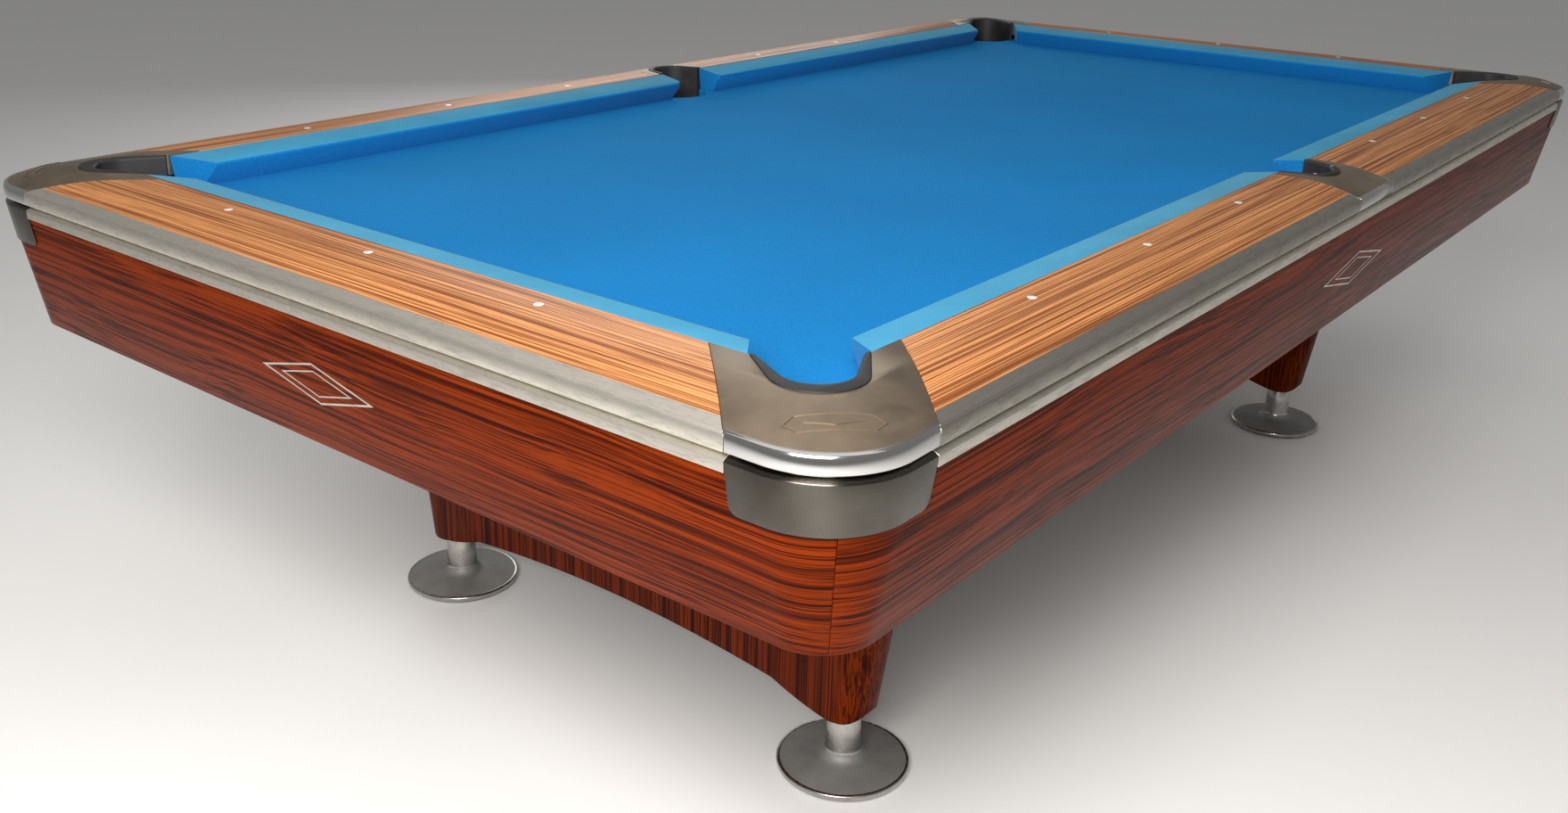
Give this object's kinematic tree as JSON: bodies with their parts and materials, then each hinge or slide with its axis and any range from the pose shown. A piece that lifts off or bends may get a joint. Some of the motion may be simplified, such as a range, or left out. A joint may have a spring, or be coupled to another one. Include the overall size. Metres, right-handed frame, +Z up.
{
  "type": "pool table",
  "caption": "Full-size six-pocket pool table: blue cloth bed, crowned wood-laminate rails, metal corner castings, tapered cabinet, arched pedestals on round levelling feet.",
  "frame": {"origin": "on the floor, under the middle of the table", "axes": "+X along the table's length, +Y across its width, +Z up"},
  "size_m": [2.952, 1.682, 0.8235],
  "materials": {
    "slate": "honed",
    "bed_cloth": "napped wool",
    "cushion_cloth": "napped wool",
    "rail_laminate": "satin laminate",
    "edge_trim": "satin",
    "cast_metal": "satin, polished nose",
    "brushed_skirt": "brushed",
    "cabinet_laminate": "gloss laminate",
    "pedestal_laminate": "gloss laminate",
    "frame_timber": "planed",
    "pocket_rubber": "moulded",
    "foot_metal": "blasted, polished stem and rim",
    "pad_rubber": "moulded"
  },
  "bodies": {
    "table": {"slate_left": "slate", "slate_centre": "slate", "slate_right": "slate", "bed_cloth": "bed_cloth", "rail_front_left": "rail_laminate", "rail_back_left": "rail_laminate", "rail_front_right": "rail_laminate", "rail_back_right": "rail_laminate", "rail_left": "rail_laminate", "rail_right": "rail_laminate", "rail_trim_front_left": "edge_trim", "rail_trim_back_left": "edge_trim", "rail_trim_front_right": "edge_trim", "rail_trim_back_right": "edge_trim", "rail_trim_left": "edge_trim", "rail_trim_right": "edge_trim", "cushion_front_left": "cushion_cloth", "cushion_back_left": "cushion_cloth", "cushion_front_right": "cushion_cloth", "cushion_back_right": "cushion_cloth", "cushion_left": "cushion_cloth", "cushion_right": "cushion_cloth", "casting_left_front": "cast_metal", "casting_left_back": "cast_metal", "casting_centre_front": "cast_metal", "casting_centre_back": "cast_metal", "casting_right_front": "cast_metal", "casting_right_back": "cast_metal", "skirt_left_front": "brushed_skirt", "skirt_left_back": "brushed_skirt", "skirt_right_front": "brushed_skirt", "skirt_right_back": "brushed_skirt", "lower_trim_front": "edge_trim", "lower_trim_back": "edge_trim", "lower_trim_left": "edge_trim", "lower_trim_right": "edge_trim", "apron_front": "cabinet_laminate", "apron_back": "cabinet_laminate", "apron_left": "cabinet_laminate", "apron_right": "cabinet_laminate", "pocket_left_front": "pocket_rubber", "pocket_left_back": "pocket_rubber", "pocket_centre_front": "pocket_rubber", "pocket_centre_back": "pocket_rubber", "pocket_right_front": "pocket_rubber", "pocket_right_back": "pocket_rubber", "frame_beam_front": "frame_timber", "frame_beam_back": "frame_timber", "cross_member_left": "frame_timber", "cross_member_right": "frame_timber", "pedestal_left": "pedestal_laminate", "pedestal_right": "pedestal_laminate"},
    "pad_front_left": {"glide_pad_front_left": "pad_rubber"},
    "foot_front_left": {"foot_front_left": "foot_metal"},
    "pad_back_left": {"glide_pad_back_left": "pad_rubber"},
    "foot_back_left": {"foot_back_left": "foot_metal"},
    "pad_front_right": {"glide_pad_front_right": "pad_rubber"},
    "foot_front_right": {"foot_front_right": "foot_metal"},
    "pad_back_right": {"glide_pad_back_right": "pad_rubber"},
    "foot_back_right": {"foot_back_right": "foot_metal"}
  },
  "joints": [
    {"name": "leveller_height_front_left", "type": "slide", "parent": "table", "child": "pad_front_left", "axis": [0, 0, -1], "range_m": [0, 0.02]},
    {"name": "leveller_turn_front_left", "type": "hinge", "parent": "pad_front_left", "child": "foot_front_left", "pos_m": [-0.889, -0.44, 0.05], "axis": [0, 0, 1], "range_deg": [0, 2880]},
    {"name": "leveller_height_back_left", "type": "slide", "parent": "table", "child": "pad_back_left", "axis": [0, 0, -1], "range_m": [0, 0.02]},
    {"name": "leveller_turn_back_left", "type": "hinge", "parent": "pad_back_left", "child": "foot_back_left", "pos_m": [-0.889, 0.44, 0.05], "axis": [0, 0, 1], "range_deg": [0, 2880]},
    {"name": "leveller_height_front_right", "type": "slide", "parent": "table", "child": "pad_front_right", "axis": [0, 0, -1], "range_m": [0, 0.02]},
    {"name": "leveller_turn_front_right", "type": "hinge", "parent": "pad_front_right", "child": "foot_front_right", "pos_m": [0.889, -0.44, 0.05], "axis": [0, 0, 1], "range_deg": [0, 2880]},
    {"name": "leveller_height_back_right", "type": "slide", "parent": "table", "child": "pad_back_right", "axis": [0, 0, -1], "range_m": [0, 0.02]},
    {"name": "leveller_turn_back_right", "type": "hinge", "parent": "pad_back_right", "child": "foot_back_right", "pos_m": [0.889, 0.44, 0.05], "axis": [0, 0, 1], "range_deg": [0, 2880]}
  ],
  "couplings": [
    {"joint": "leveller_height_front_left", "follows": "leveller_turn_front_left", "m_per_rad": 0.00039789},
    {"joint": "leveller_height_back_left", "follows": "leveller_turn_back_left", "m_per_rad": 0.00039789},
    {"joint": "leveller_height_front_right", "follows": "leveller_turn_front_right", "m_per_rad": 0.00039789},
    {"joint": "leveller_height_back_right", "follows": "leveller_turn_back_right", "m_per_rad": 0.00039789}
  ]
}
